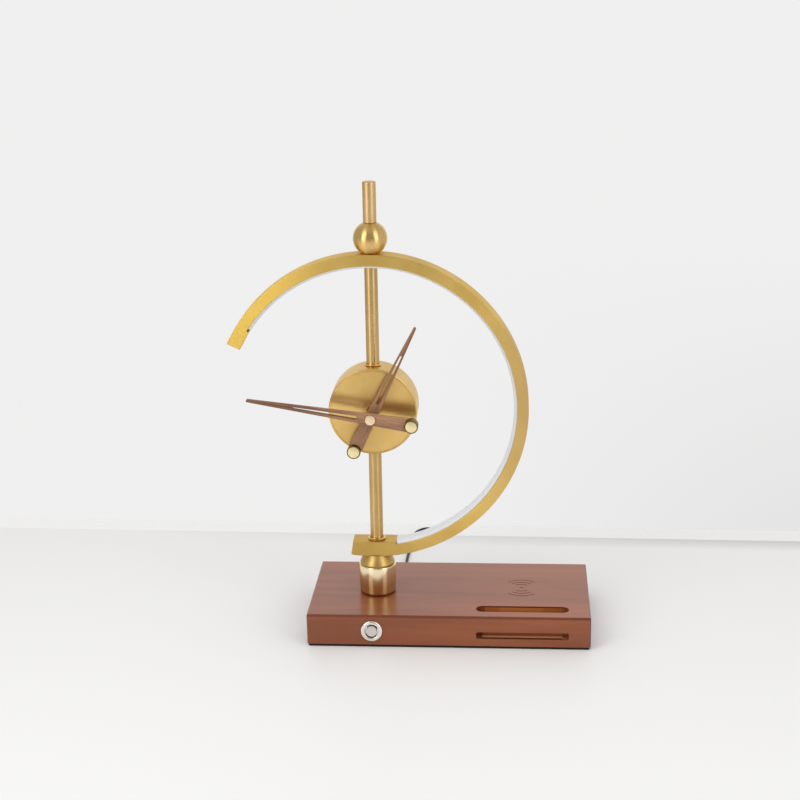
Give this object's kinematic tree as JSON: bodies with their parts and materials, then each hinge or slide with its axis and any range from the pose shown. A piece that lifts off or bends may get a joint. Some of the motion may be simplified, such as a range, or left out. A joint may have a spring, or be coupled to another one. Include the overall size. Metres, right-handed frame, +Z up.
{
  "type": "desk lamp clock",
  "caption": "Desk lamp clock: a C-shaped brass light ring and a drum clock with tapered wooden hands on a rod, over a wooden wireless-charging base with grooves.",
  "frame": {"origin": "middle of the base's width and depth, on the underside of its pad", "axes": "+Z up, +X to the right and -Y towards the viewer, the side the clock and the button face"},
  "size_m": [0.3293, 0.2978, 0.4191],
  "materials": {
    "wood": "red-brown lacquered hardwood",
    "hand_wood": "oiled walnut",
    "brass": "satin to polished gold-coloured metal",
    "copper": "pale copper-coloured metal",
    "steel": "zinc-plated",
    "nickel": "brushed nickel plating",
    "white": "milky white silicone",
    "grey": "light grey plastic",
    "black": "black plastic",
    "foam": "black foam sheet",
    "rubber": "black moulded cable rubber",
    "board": "green circuit board",
    "winding": "enamelled copper wire",
    "ferrite": "dark ferrite sheet",
    "cell": "plain printed battery wrap"
  },
  "bodies": {
    "lamp": {"wood_base": "wood", "base_cover": "black", "base_pad": "foam", "charging_coil": "winding", "ferrite_disc": "ferrite", "charger_board": "board", "button_body": "nickel", "button_nut": "nickel", "dc_jack": "black", "dc_plug": "rubber", "cord_lead": "rubber", "cord_coil": "rubber", "coil_tie": "black", "cord_tail": "rubber", "usb_grip": "rubber", "usb_shell": "nickel", "foot_cup": "brass", "foot_collar": "brass", "stud_washer": "steel", "stud_nut": "steel", "base_stud": "steel", "lamp_ring": "brass", "led_strip_right": "white", "led_strip_left": "white", "ring_diffuser": "white", "block_rosette": "brass", "drum_lower_rosette": "brass", "drum_upper_rosette": "brass", "lower_rod": "brass", "upper_rod": "brass", "drum_lower_stud": "steel", "drum_upper_stud": "steel", "drum_lower_nut": "steel", "drum_upper_nut": "steel", "ring_stud": "steel", "ball": "brass", "finial_rod": "brass", "drum_case": "brass", "clock_movement": "black", "battery": "cell", "dial_nut": "brass"},
    "hour_set": {"hour_hand": "hand_wood", "hour_weight": "brass", "hour_boss": "brass", "hour_tube": "steel"},
    "minute_set": {"minute_hand": "hand_wood", "minute_weight": "brass", "minute_boss": "brass", "minute_shaft": "steel", "minute_cap": "copper"},
    "knob": {"setting_knob": "black"},
    "button": {"button_cap": "grey"}
  },
  "joints": [
    {"name": "minute_turn", "type": "hinge", "parent": "lamp", "child": "minute_set", "pos_m": [-0.0684, -0.0202, 0.2124], "axis": [0, 1, 0], "continuous": true},
    {"name": "hour_turn", "type": "hinge", "parent": "lamp", "child": "hour_set", "pos_m": [-0.0684, -0.0202, 0.2124], "axis": [0, 1, 0], "continuous": true},
    {"name": "knob_turn", "type": "hinge", "parent": "lamp", "child": "knob", "pos_m": [-0.0814, -0.0019, 0.2234], "axis": [0, 1, 0], "continuous": true},
    {"name": "button_press", "type": "slide", "parent": "lamp", "child": "button", "axis": [0, 1, 0], "range_m": [0, 0.002], "stiffness_N_per_m": 600, "springref_m": -0.004}
  ],
  "couplings": [
    {"joint": "hour_turn", "follows": "minute_turn", "ratio": 0.083333},
    {"joint": "knob_turn", "follows": "minute_turn", "ratio": -1}
  ]
}
